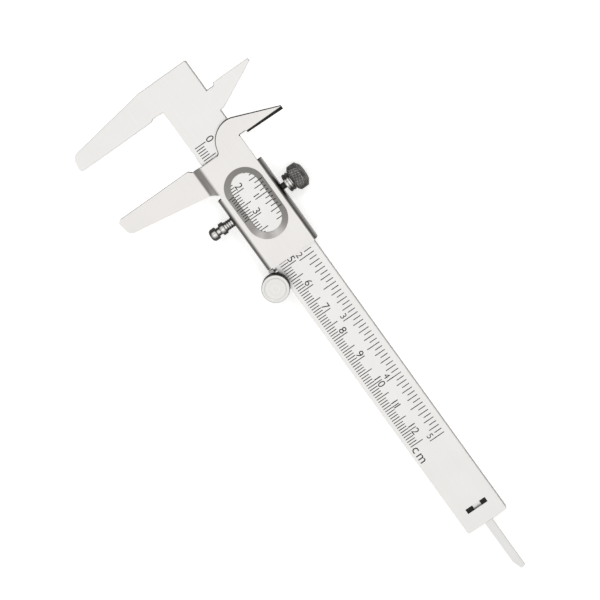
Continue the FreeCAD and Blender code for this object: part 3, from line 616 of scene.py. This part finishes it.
def turned_piece(name, profile, segments):
    """Turn a profile of (radius, height) round the z axis, ring by ring, from its foot."""
    deselect_all()
    foot_radius, foot = profile[0]
    bpy.ops.mesh.primitive_circle_add(
        vertices=segments, radius=foot_radius, fill_type="NGON", location=(0, 0, foot))
    piece = bpy.context.object
    piece.name = name
    settle(piece)
    bpy.ops.object.mode_set(mode="EDIT")
    bpy.ops.mesh.select_all(action="SELECT")
    radius, height = foot_radius, foot
    for next_radius, next_height in profile[1:]:
        bpy.ops.mesh.extrude_region()
        bpy.ops.transform.translate(value=(0, 0, next_height - height))
        factor = next_radius / radius
        bpy.ops.transform.resize(value=(factor, factor, 1), center_override=(0, 0, next_height))
        radius, height = next_radius, next_height
    bpy.ops.mesh.select_all(action="SELECT")
    bpy.ops.mesh.normals_make_consistent(inside=False)
    bpy.ops.object.mode_set(mode="OBJECT")
    return piece


def in_millimetres(points, base=0.0):
    """Profile points given as (radius, height above the base), both in millimetres."""
    return [(radius * MM, base + height * MM) for radius, height in points]


def along(start, stop, rows):
    """Evenly spaced rings from one (radius, height) to another, without the first."""
    return [(start[0] + (stop[0] - start[0]) * i / rows, start[1] + (stop[1] - start[1]) * i / rows)
            for i in range(1, rows + 1)]


def raise_diamonds(piece, rings, segments, height):
    """Raise every other point of the listed rings, which makes a diamond knurl.

    The ridge attribute is 1 on the raised points, -1 between them and 0 off the knurl.
    """
    step = 2 * math.pi / segments
    piece.data.attributes.new("ridge", "FLOAT", "POINT")
    raised = [0.0] * len(piece.data.vertices)
    take(piece)
    for number, (radius, level, out, up) in enumerate(rings):
        for vertex in piece.data.vertices:
            x, y, z = vertex.co
            on_ring = abs(z - level) < 1e-6 and abs(math.hypot(x, y) - radius) < 1e-6
            turn = round(math.atan2(y, x) / step) % segments
            vertex.select = on_ring and (turn + number) % 2 == 0
            if on_ring:
                raised[vertex.index] = 1.0 if vertex.select else -1.0
        for part in (*piece.data.edges, *piece.data.polygons):
            part.select = False
        bpy.ops.object.mode_set(mode="EDIT")
        bpy.ops.mesh.select_mode(type="VERT")
        bpy.ops.transform.translate(value=(0, 0, height * up))
        factor = (radius + height * out) / radius
        bpy.ops.transform.resize(value=(factor, factor, 1), center_override=(0, 0, level))
        bpy.ops.object.mode_set(mode="OBJECT")
    piece.data.attributes["ridge"].data.foreach_set("value", raised)
    bpy.ops.object.mode_set(mode="EDIT")
    bpy.ops.mesh.select_all(action="SELECT")
    bpy.ops.mesh.quads_convert_to_tris(quad_method="SHORTEST_DIAGONAL", ngon_method="BEAUTY")
    bpy.ops.object.mode_set(mode="OBJECT")


def smooth(piece, degrees):
    """Smooth the piece's shading except where it turns sharply, and keep large faces flat."""
    take(piece)
    bpy.ops.object.shade_smooth_by_angle(angle=math.radians(degrees))
    flat = piece.modifiers.new("flat_faces", "WEIGHTED_NORMAL")
    flat.keep_sharp = True
    flat.weight = 100
    bpy.ops.object.modifier_apply(modifier=flat.name)


def stand(piece, direction, place):
    """Point a turned piece's foot-to-top axis along +Y (1), -Y (-1) or leave it up (0)."""
    piece.rotation_euler = (-direction * math.pi / 2, 0, 0)
    piece.location = place
    settle(piece)


def middle(node):
    """The middle of a CAD node's box."""
    low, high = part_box(node)
    return (low + high) / 2


# ---------------------------------------------------------------- the pieces

METRIC_LINES = {
    "millimetre": 3.1 * MM, "half": 4.95 * MM, "centimetre": 5.6 * MM, "zero": 4.3 * MM}
INCH_LINES = {"sixteenth": 2.9 * MM, "eighth": 4.0 * MM, "half": 5.0 * MM, "inch": 5.9 * MM}
METRIC_VERNIER = {"line": 1.6 * MM, "fifth": 2.1 * MM}
INCH_VERNIER = {"line": 1.3 * MM, "fourth": 1.9 * MM}
FOLD_OUTSIDE_Y = 17.3 * MM


class CALIPER_OT_engraved_beam(bpy.types.Operator):
    """Engrave the millimetre and inch scales into the beam's front face"""
    bl_idname = "caliper.engraved_beam"
    bl_label = "Engraved beam"

    def execute(self, context):
        """Cut both scales and their figures, and give the beam its finish."""
        scales = context.scene.caliper_scales
        finish = context.scene.caliper_finish
        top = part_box("beam")[1].z
        block = cutter_block("line", scales.line_width, 1, 2 * scales.depth)
        cutters = self.metric_lines(block, scales, top)
        cutters += self.inch_lines(block, scales, top)
        cutters += self.figures(scales, top)
        bpy.data.objects.remove(block)
        beam = copy_of_node("beam", "engraved_beam")
        engrave(beam, cutters, satin_steel("beam_steel", finish.beam, 0.36),
                engraving_ink("scale_ink", finish.ink))
        smooth(beam, 25)
        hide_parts("beam")
        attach(beam, "beam")
        return {"FINISHED"}

    def metric_lines(self, block, scales, top):
        """A line each millimetre, longer at each half and whole centimetre."""
        cutters = []
        for number in range(scales.centimetres * 10 + 6):
            length = METRIC_LINES["millimetre"]
            if number % 5 == 0:
                length = METRIC_LINES["half"]
            if number % 10 == 0:
                length = METRIC_LINES["centimetre" if number else "zero"]
            x = scales.zero_x + number * MM
            cutters.append(line_cutter(block, x, scales.metric_y, length, top))
        return cutters

    def inch_lines(self, block, scales, top):
        """A line each sixteenth of an inch, longer at the eighths, halves and inches."""
        cutters = []
        for number in range(scales.inches * 16 + 1):
            length = INCH_LINES["sixteenth"]
            if number % 2 == 0:
                length = INCH_LINES["eighth"]
            if number % 8 == 0 and number:
                length = INCH_LINES["half"]
            if number % 16 == 0 and number:
                length = INCH_LINES["inch"]
            x = scales.zero_x + number * INCH / 16
            cutters.append(line_cutter(block, x, scales.inch_y, -length, top))
        return cutters

    def figures(self, scales, top):
        """The figures of both scales and the unit after the metric one."""
        zero = scales.zero_x
        wide, narrow = 0.95 * MM, 0.45 * MM
        metric = {"foot": scales.metric_foot, "top": top}
        cutters = [figure_cutter("0", 2.9 * MM, scales.depth, scales.zero_foot, top, centre=zero)]
        for number in range(1, scales.centimetres + 1):
            x = zero + number * 10 * MM
            places = [{"right": x - 0.6 * MM}]
            if number > 9:
                places = [{"right": x - wide}, {"left": x + narrow}]
            for figure, place in zip(str(number), places):
                cutters.append(figure_cutter(
                    figure, scales.metric_digit, scales.depth, **metric, **place))
        for number in range(1, scales.inches + 1):
            cutters.append(figure_cutter(
                str(number), scales.inch_digit, scales.depth, scales.inch_foot, top,
                right=zero + number * INCH - 0.85 * MM))
        for letter, place in (("c", {"left": 141.5 * MM}), ("m", {"right": 147.4 * MM})):
            cutters.append(figure_cutter(
                letter, 3.5 * MM, scales.depth, 21.0 * MM, top, **place))
        return cutters


class CALIPER_OT_slider_plate(bpy.types.Operator):
    """Engrave both verniers into the bevels of the slider's reading window"""
    bl_idname = "caliper.slider_plate"
    bl_label = "Slider and verniers"

    centre_y: length_setting(
        "Window middle", "Middle of the reading window across the beam", 27.68 * MM)
    half_width: length_setting("Window half width", "Half the window's inner width", 5.05 * MM)
    bevel_run: length_setting(
        "Bevel run", "How far the window's bevel reaches across the plate", 2.15 * MM)
    bevel_rise: length_setting("Bevel rise", "How far the window's bevel climbs", 1.2 * MM)
    reading: length_setting("Reading", "Opening of the jaws at rest", 20.5 * MM)
    top_start: length_setting(
        "Top fold start", "Where the top fold starts along the beam", 30.5 * MM)
    low_start: length_setting(
        "Lower fold start", "Where the lower fold starts along the beam", 34.0 * MM)
    rolled_edge: length_setting(
        "Rolled edge", "Width of the bevel on the plate's free outline", 0.25 * MM)
    top_fold: length_setting("Top fold", "Where the top fold leaves the plate's face", 35.55 * MM)

    def execute(self, context):
        """Cut both verniers and give the slider its finish."""
        scales = context.scene.caliper_scales
        finish = context.scene.caliper_finish
        block = cutter_block("line", scales.line_width, 1, 2 * scales.depth)
        zero = scales.zero_x + self.reading
        cutters = []
        for number in range(11):
            length = METRIC_VERNIER["line" if number % 5 else "fifth"]
            cutters.append(self.bevel_line(block, zero + number * 0.9 * MM, -1, length))
        for number in range(9):
            length = INCH_VERNIER["line" if number % 4 else "fourth"]
            cutters.append(self.bevel_line(block, zero + number * 7 * INCH / 128, 1, length))
        bpy.data.objects.remove(block)
        plate = copy_of_node("slider_body", "slider_plate")
        self.break_outline(plate)
        # Painted black shade on the plate's outline walls and rolled edge, and painted shade on the
        # window's bevels and the joggle.
        steel = satin_steel("plate_steel", finish.slider, 0.38, fineness=0.9,
                            sides=(0.775, 0.715), edge=finish.cut_edge, slope_shade=0.66)
        engrave(plate, cutters, steel, engraving_ink("vernier_ink", finish.ink))
        # Painted shade on the folds: their bends turn grey from a smaller tilt than elsewhere.
        self.dull_folds(plate, satin_steel(
            "fold_shade_steel", finish.slider, 0.34, fineness=0.9, sides=(0.985, 0.78)))
        smooth(plate, 25)
        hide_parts("slider_body")
        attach(plate, "slider")
        return {"FINISHED"}

    def break_outline(self, plate):
        """Roll the free outline of the plate's front over by a narrow bevel."""
        hair = 0.001 * MM
        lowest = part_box("slider_body")[1].z - hair
        last_x = self.top_start + 0.3 * MM
        knife_x, knife_y = 19.2 * MM, 39 * MM
        take(plate)
        bpy.ops.object.mode_set(mode="EDIT")
        bpy.ops.mesh.select_all(action="SELECT")
        bpy.ops.mesh.dissolve_limited(angle_limit=math.radians(0.5))
        bpy.ops.mesh.select_all(action="DESELECT")
        bpy.ops.mesh.select_mode(type="EDGE")
        bpy.ops.mesh.edges_select_sharp(sharpness=math.radians(50))
        bpy.ops.object.mode_set(mode="OBJECT")
        points = [vertex.co for vertex in plate.data.vertices]
        for edge in plate.data.edges:
            ends = [points[index] for index in edge.vertices]
            centre = (ends[0] + ends[1]) / 2
            on_knife = centre.y > knife_y and centre.x > knife_x
            if (min(end.z for end in ends) < lowest or on_knife
                    or max(end.x for end in ends) > last_x):
                edge.select = False
        for part in (*plate.data.vertices, *plate.data.polygons):
            part.select = False
        bpy.ops.object.mode_set(mode="EDIT")
        bpy.ops.mesh.bevel(offset=self.rolled_edge, segments=1, affect="EDGES")
        bpy.ops.object.mode_set(mode="OBJECT")

    def dull_folds(self, plate, dull):
        """Give the two folds round the beam's edges their own material, with painted shade on their
        bends.
        """
        low_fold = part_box("gib_strip")[1].y
        plate.data.materials.append(dull)
        for face in plate.data.polygons:
            place = face.center
            on_top = place.y > self.top_fold and place.x > self.top_start
            on_low = place.y < low_fold and place.x > self.low_start
            if (on_top or on_low) and abs(face.normal.z) < 0.9999 and abs(face.normal.x) < 0.5:
                face.material_index = 2

    def bevel_line(self, block, x, side, length):
        """One line that climbs a bevel from the window's inner edge."""
        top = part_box("slider_body")[1].z
        slope = math.atan2(self.bevel_rise, self.bevel_run)
        foot = Vector((x, self.centre_y + side * self.half_width, top - self.bevel_rise))
        climb = Vector((0, side * math.cos(slope), math.sin(slope)))
        place = Matrix.Translation(foot + climb * length / 2)
        turn = Matrix.Rotation(side * slope, 4, "X")
        return copied(block, place @ turn @ Matrix.Diagonal((1, length, 1, 1)))


class CALIPER_OT_lock_screw(bpy.types.Operator):
    """Turn the lock screw and knurl its head"""
    bl_idname = "caliper.lock_screw"
    bl_label = "Knurled lock screw"

    def execute(self, context):
        """Turn the profile from the tip outwards, raise the diamonds and stand it on the wall."""
        turned = context.scene.caliper_turned
        segments = turned.screw_diamonds * 2
        low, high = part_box("lock_screw")
        neck_end = 2.85 * MM
        foot = (3.2 * MM, 5.15 * MM)
        shoulder = (4.45 * MM, 6.05 * MM)
        crown = (4.45 * MM, 8.85 * MM)
        rim = (2.65 * MM, high.y - low.y - 0.05 * MM)
        under = along(foot, shoulder, 4)
        side = along(shoulder, crown, 8)
        face = along(crown, rim, 6)
        neck = in_millimetres([
            (0.9, 0), (1.15, 0.3), (1.15, 2.8), (2.95, 2.8), (3.18, 2.87), (3.25, 3.1),
            (3.25, 3.6), (3.1, 3.68), (2.95, 3.75), (2.95, 3.9), (3.1, 3.97), (3.25, 4.05),
            (3.25, 4.6), (3.15, 4.8), (2.7, 4.85), (2.7, 5.15)])
        dish = in_millimetres([(2.4, 0), (2.25, -0.12), (0.4, -0.12)], rim[1])
        profile = [*neck, foot, *under, *side, *face, *dish]
        screw = turned_piece("knurled_lock_screw", profile, segments)
        tilt = math.atan2(shoulder[0] - foot[0], shoulder[1] - foot[1])
        lean = math.atan2(crown[0] - rim[0], rim[1] - crown[1])
        knurl = [(*ring, math.cos(tilt), -math.sin(tilt)) for ring in under[:-1]]
        knurl += [(*ring, 1, 0) for ring in [shoulder] + side[:-1]]
        knurl += [(*ring, math.cos(lean), math.sin(lean)) for ring in [crown] + face[:-1]]
        raise_diamonds(screw, knurl, segments, turned.knurl_height)
        # Painted shade under the head: the neck is marked like a knurl dip so it is darkened.
        for vertex, ridge in zip(screw.data.vertices, screw.data.attributes["ridge"].data):
            if vertex.co.z < neck_end:
                ridge.value = -1.0
        smooth(screw, 18)
        stand(screw, 1, (middle("lock_screw").x, low.y, 0))
        dress(screw, bpy.data.materials["dark_polish"])
        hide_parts("lock_screw")
        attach(screw, "lock_screw")
        return {"FINISHED"}


class CALIPER_OT_finger_post(bpy.types.Operator):
    """Turn the finger post with its ringed shaft, collar and knob"""
    bl_idname = "caliper.finger_post"
    bl_label = "Finger post"

    def execute(self, context):
        """Turn the profile from the dog outwards and point it away from the beam."""
        low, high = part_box("finger_post")
        wall = high.y - FOLD_OUTSIDE_Y
        profile = in_millimetres([(0.55, 0), (0.6, 0.05)])
        profile += in_millimetres([
            (0.6, -1.5), (1.15, -1.5), (1.15, 0), (1.6, 0), (1.675, 0.08)], wall)
        for number in (1, 2, 3):
            level = wall + number * 0.8 * MM
            profile += in_millimetres([
                (1.675, -0.2), (1.5, -0.1), (1.47, 0), (1.5, 0.1), (1.675, 0.2)], level)
        profile += in_millimetres([
            (1.675, 3.2), (1.95, 3.25), (2.16, 3.36), (2.225, 3.6), (2.225, 4.65), (2.14, 4.87),
            (1.9, 4.95), (1.5, 5.0), (1.45, 5.1), (1.45, 6.3), (1.5, 6.4), (1.95, 6.45),
            (2.14, 6.56), (2.2, 6.75), (2.2, 7.9), (2.1, 8.4), (1.8, 8.8), (1.35, 9.03),
            (0.8, 9.1), (0.2, 9.1)], wall)
        post = turned_piece("turned_finger_post", profile, 48)
        smooth(post, 30)
        stand(post, -1, (middle("finger_post").x, high.y, 0))
        dress(post, bpy.data.materials["dark_polish"])
        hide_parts("finger_post")
        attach(post, "slider")
        return {"FINISHED"}


class CALIPER_OT_thumb_roller(bpy.types.Operator):
    """Turn the thumb roller and knurl its rim"""
    bl_idname = "caliper.thumb_roller"
    bl_label = "Knurled thumb roller"

    def execute(self, context):
        """Turn the profile from the stem's end forwards and raise the diamonds on the rim."""
        turned = context.scene.caliper_turned
        finish = context.scene.caliper_finish
        segments = turned.roller_diamonds * 2
        low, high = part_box("thumb_roller")
        centre = middle("thumb_roller")
        head_back = 1.65 * MM
        front = high.z
        rim_low = (4.7 * MM, head_back + 0.25 * MM)
        rim_high = (4.7 * MM, front - 0.3 * MM)
        side = along(rim_low, rim_high, 14)
        profile = [
            (1.4 * MM, low.z), (1.5 * MM, low.z + 0.1 * MM), (1.5 * MM, -3.0 * MM),
            (3.48 * MM, -3.0 * MM), (3.48 * MM, head_back), (4.6 * MM, head_back),
            rim_low, *side,
        ]
        profile += in_millimetres([
            (4.72, -0.12), (4.64, -0.03), (4.5, 0), (3.75, 0), (3.6, -0.05), (3.45, -0.07),
            (1.0, -0.05), (0.2, -0.05)], front)
        roller = turned_piece("knurled_thumb_roller", profile, segments)
        raise_diamonds(roller, [(*ring, 1, 0) for ring in [rim_low] + side], segments,
                       turned.knurl_height * 0.8)
        smooth(roller, 18)
        stand(roller, 0, (centre.x, centre.y, 0))
        dress(roller, turned_face("roller_steel", finish.turned, centre, 0.3))
        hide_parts("thumb_roller")
        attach(roller, "thumb_roller")
        return {"FINISHED"}


class CALIPER_OT_small_parts(bpy.types.Operator):
    """Give every carried-over CAD piece its finish"""
    bl_idname = "caliper.small_parts"
    bl_label = "Finishes of the small parts"

    def execute(self, context):
        """Make the shared finishes and put one on each remaining node."""
        finish = context.scene.caliper_finish
        black = black_oxide("black_oxide", shade(finish.black, 0.5), 0.45)
        # The black oxide colour is also the painted shade on the sides of the screw and the post.
        dark_polish("dark_polish", finish.dark_polish, finish.black, 0.15)
        sheet = satin_steel("bracket_steel", finish.slider, 0.4, 0.8)
        rod = satin_steel("drawn_steel", finish.rod, 0.32, 1.6)
        rivet = satin_steel("rivet_wire", shade(finish.rod, 0.9), 0.42, 2.0, (0.3, 0.1))
        spring = satin_steel("gib_steel", shade(finish.rod, 0.7), 0.38, 1.8)
        brass = soft_brass("pad_brass", finish.brass)
        wanted = {
            "depth_rod": rod, "rod_guide_clip": black, "rod_carrier": sheet,
            "roller_bracket": sheet, "carrier_rivets": rivet, "rod_pin": rivet,
            "bracket_rivets": rivet, "roller_washer": rivet, "gib_strip": spring,
            "lock_pad": brass,
        }
        for node, material in wanted.items():
            dress(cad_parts[node], material)
        return {"FINISHED"}


class CALIPER_OT_stage(bpy.types.Operator):
    """Set the pale floor, the soft lights and the camera"""
    bl_idname = "caliper.stage"
    bl_label = "Stage"

    def execute(self, context):
        """Make the floor, the lights, the world and the camera."""
        settings = context.scene.caliper_stage
        self.make_floor(settings)
        self.make_world(context.scene)
        self.make_light("softbox", place=(0.26, -0.16, 1.3), size=0.9, power=1.25)
        self.make_light("side_box", place=(-0.6, -0.1, 0.63), size=0.5, power=0.75)
        self.make_light("spark", place=(-0.25, 0.45, 0.75), size=0.1, power=0.6)
        self.make_camera(context.scene, settings)
        context.scene.view_settings.view_transform = "Standard"
        return {"FINISHED"}

    def make_floor(self, settings):
        """A wide pale table just under the lowest point of the caliper."""
        lowest = min(corner.z for corner in (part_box(node)[0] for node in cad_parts))
        deselect_all()
        bpy.ops.mesh.primitive_plane_add(size=6, location=(0.09, 0.02, lowest - 0.02 * MM))
        floor = bpy.context.object
        floor.name = "floor"
        settle(floor)
        material, shader = start_material("pale_table", 0.0, 0.9)
        tree = material.node_tree
        cloud = noise(tree, object_coordinates(tree), 3, 2.0)
        tone = mix_colours(tree, cloud, shade(settings.floor, 0.99), settings.floor)
        tree.links.new(tone, shader.inputs["Base Color"])
        shader.inputs["Specular IOR Level"].default_value = 0.1
        shader.inputs["Emission Color"].default_value = (1, 1, 1, 1)
        shader.inputs["Emission Strength"].default_value = settings.glow
        dress(floor, material)

    def make_world(self, scene):
        """A soft studio dome, bright overhead and darker towards the horizon."""
        world = bpy.data.worlds.new("studio_dome")
        scene.world = world
        world.use_nodes = True
        tree = world.node_tree
        split = tree.nodes.new("ShaderNodeSeparateXYZ")
        tree.links.new(tree.nodes.new("ShaderNodeTexCoord").outputs["Generated"], split.inputs[0])
        ramp = tree.nodes.new("ShaderNodeValToRGB")
        elements = ramp.color_ramp.elements
        elements[0].position = 0.0
        elements[0].color = (0.2, 0.2, 0.19, 1)
        elements[1].position = 0.96
        elements[1].color = (0.72, 0.72, 0.72, 1)
        for height, level in ((0.35, 0.36), (0.6, 0.5)):
            elements.new(height).color = (level, level * 0.98, level * 0.93, 1)
        tree.links.new(split.outputs["Z"], ramp.inputs[0])
        tree.links.new(ramp.outputs[0], tree.nodes["Background"].inputs["Color"])

    def make_light(self, name, place, size, power):
        """A square soft light that faces the caliper."""
        light = bpy.data.lights.new(name, "AREA")
        light.shape = "SQUARE"
        light.size = size
        light.energy = power
        holder = bpy.data.objects.new(name, light)
        bpy.context.scene.collection.objects.link(holder)
        holder.location = place
        aim = Vector((0.09, 0.02, 0)) - Vector(place)
        holder.rotation_euler = aim.to_track_quat("-Z", "Y").to_euler()

    def make_camera(self, scene, settings):
        """The camera, set by its place, its aim and its roll."""
        lens = bpy.data.cameras.new("camera")
        lens.lens = settings.lens
        lens.sensor_width = 36
        lens.clip_start = 0.02
        lens.clip_end = 20
        camera = bpy.data.objects.new("camera", lens)
        scene.collection.objects.link(camera)
        place = Vector(settings.camera_place)
        back = (place - Vector(settings.camera_aim)).normalized()
        right = Vector((0, 0, 1)).cross(back).normalized()
        up = back.cross(right)
        turn = Matrix((right, up, back)).transposed().to_4x4()
        camera.matrix_world = (Matrix.Translation(place) @ turn
                               @ Matrix.Rotation(settings.camera_roll, 4, "Z"))
        scene.camera = camera


class CALIPER_PT_panel(bpy.types.Panel):
    """The caliper's sizes, finishes and pieces"""
    bl_idname = "CALIPER_PT_panel"
    bl_label = "Vernier Caliper"
    bl_space_type = "VIEW_3D"
    bl_region_type = "UI"
    bl_category = "Caliper"

    def draw(self, context):
        """List the settings and one button for each piece."""
        for name in SETTINGS:
            group = getattr(context.scene, name)
            box = self.layout.box()
            for key in group.bl_rna.properties.keys():
                if key not in ("name", "rna_type"):
                    box.prop(group, key)
        for operator in PIECES:
            self.layout.operator(operator.bl_idname)


SETTINGS = {
    "caliper_scales": CaliperScales,
    "caliper_turned": CaliperTurned,
    "caliper_finish": CaliperFinish,
    "caliper_stage": CaliperStage,
}
PIECES = (
    CALIPER_OT_small_parts,
    CALIPER_OT_engraved_beam,
    CALIPER_OT_slider_plate,
    CALIPER_OT_lock_screw,
    CALIPER_OT_finger_post,
    CALIPER_OT_thumb_roller,
    CALIPER_OT_stage,
)


def register():
    """Register the settings, the operators and the panel."""
    for name, group in SETTINGS.items():
        bpy.utils.register_class(group)
        setattr(bpy.types.Scene, name, bpy.props.PointerProperty(type=group))
    for operator in PIECES:
        bpy.utils.register_class(operator)
    bpy.utils.register_class(CALIPER_PT_panel)


def unregister():
    """Take everything off again."""
    bpy.utils.unregister_class(CALIPER_PT_panel)
    for operator in reversed(PIECES):
        bpy.utils.unregister_class(operator)
    for name, group in SETTINGS.items():
        delattr(bpy.types.Scene, name)
        bpy.utils.unregister_class(group)


def main():
    """Build the whole caliper in order."""
    register()
    bpy.ops.caliper.small_parts()
    bpy.ops.caliper.engraved_beam()
    bpy.ops.caliper.slider_plate()
    bpy.ops.caliper.lock_screw()
    bpy.ops.caliper.finger_post()
    bpy.ops.caliper.thumb_roller()
    bpy.ops.caliper.stage()


if __name__ == "__main__":
    main()
